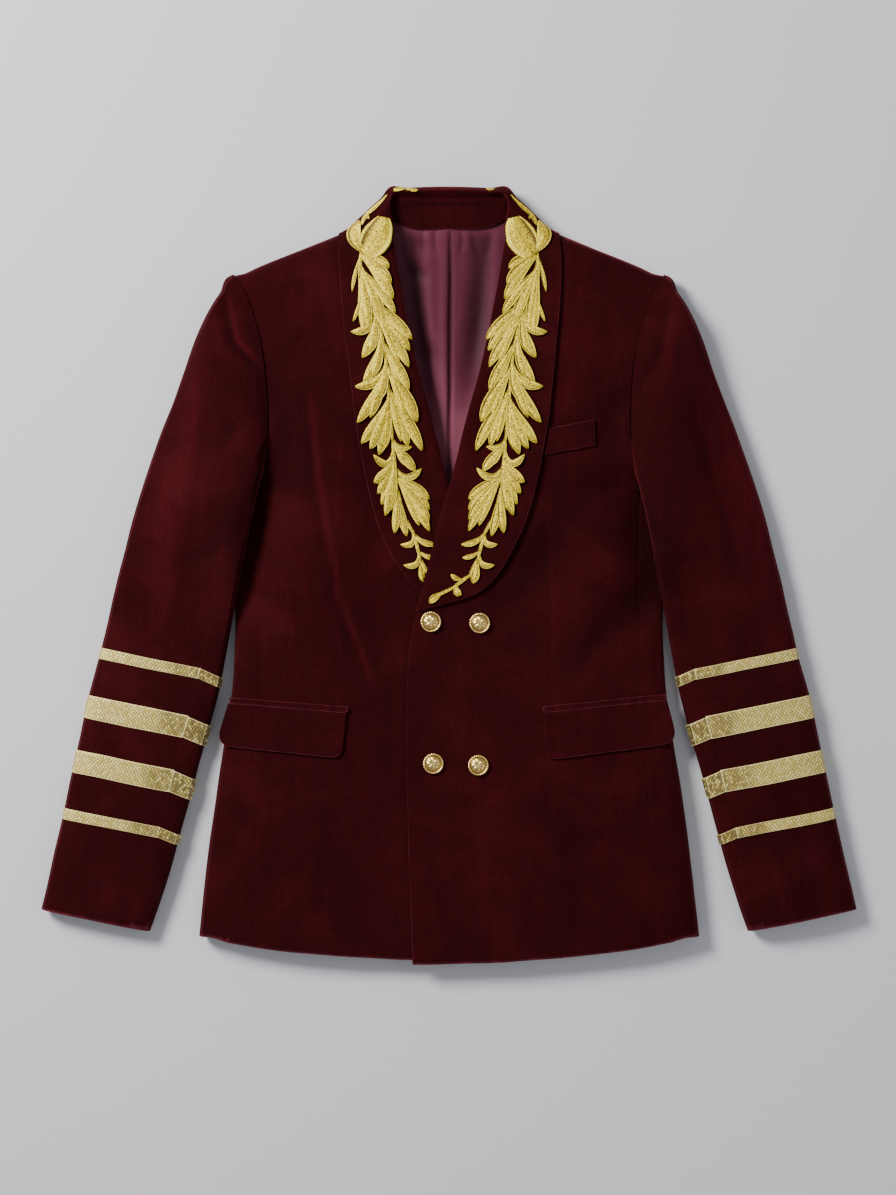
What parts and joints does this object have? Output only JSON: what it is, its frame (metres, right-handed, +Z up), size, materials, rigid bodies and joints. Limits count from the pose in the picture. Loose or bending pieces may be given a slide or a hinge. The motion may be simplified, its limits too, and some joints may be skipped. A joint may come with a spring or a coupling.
{
  "type": "velvet blazer",
  "caption": "Shawl-collar double-breasted velvet blazer laid flat, with gold embroidered lapels, braided sleeves, flap pockets and an open neck, hem and cuffs.",
  "frame": {"origin": "centre of the bounding box, on the surface that the blazer lies on", "axes": "+X towards the wearer's left sleeve, +Y towards the collar, +Z up out of the front"},
  "size_m": [0.7958, 0.7554, 0.0396],
  "materials": {
    "velvet": "deep burgundy cotton velvet, short pile, soft sheen",
    "satin": "plum satin lining, soft gloss",
    "gold_thread": "padded metallic gold thread embroidery",
    "braid": "woven gold lame braid, crackled metallic face",
    "gilt_metal": "cast gilt metal, worn bright on the raised rims"
  },
  "bodies": {
    "root": {"front_left": "velvet", "side_panel_left": "velvet", "top_sleeve_left": "velvet", "under_sleeve_left": "velvet", "band_1_top_left": "braid", "band_1_under_left": "braid", "band_2_top_left": "braid", "band_2_under_left": "braid", "band_3_top_left": "braid", "band_3_under_left": "braid", "band_4_top_left": "braid", "band_4_under_left": "braid", "collar_left": "velvet", "flap_left": "velvet", "jet_left": "velvet", "spray_left": "gold_thread", "front_right": "velvet", "side_panel_right": "velvet", "top_sleeve_right": "velvet", "under_sleeve_right": "velvet", "band_1_top_right": "braid", "band_1_under_right": "braid", "band_2_top_right": "braid", "band_2_under_right": "braid", "band_3_top_right": "braid", "band_3_under_right": "braid", "band_4_top_right": "braid", "band_4_under_right": "braid", "collar_right": "velvet", "flap_right": "velvet", "jet_right": "velvet", "spray_right": "gold_thread", "back": "velvet", "lining_back": "satin", "collar_stand": "velvet", "breast_welt": "velvet", "button_upper_left": "gilt_metal", "button_upper_right": "gilt_metal", "button_lower_left": "gilt_metal", "button_lower_right": "gilt_metal"}
  },
  "joints": []
}
